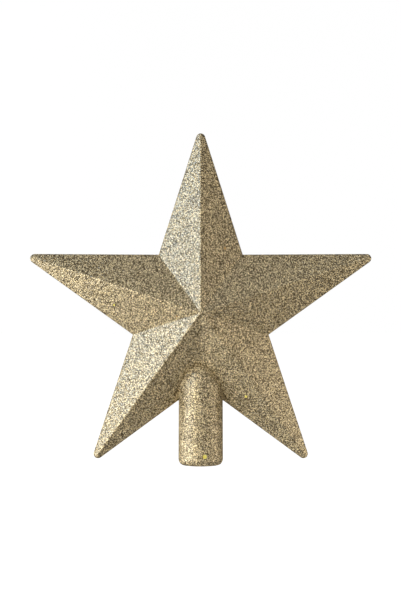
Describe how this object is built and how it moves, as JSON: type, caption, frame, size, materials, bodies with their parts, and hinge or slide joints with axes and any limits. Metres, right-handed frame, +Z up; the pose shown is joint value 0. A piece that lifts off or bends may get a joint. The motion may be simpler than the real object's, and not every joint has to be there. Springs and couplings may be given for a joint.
{
  "type": "christmas tree topper star",
  "caption": "Hollow facetted star in a glitter coat, with a domed round socket below it that slips over the top shoot of a christmas tree.",
  "frame": {"origin": "centre of the socket's mouth, at the lowest plane of the part", "axes": "+Z up the socket's axis to the top point, +X to the right seen from the front, front of the star towards -Y"},
  "size_m": [0.19, 0.043, 0.1845],
  "materials": {
    "glitter": "champagne gold glitter flakes in clear lacquer",
    "shell": "bare moulded plastic, gold tint",
    "socket": "bare moulded plastic, gold tint",
    "cement": "set clear cement"
  },
  "bodies": {
    "root": {"front_shell": "shell", "rear_shell": "shell", "leader_socket": "socket", "seam_cement": "cement", "glitter_coat": "glitter"}
  },
  "joints": []
}
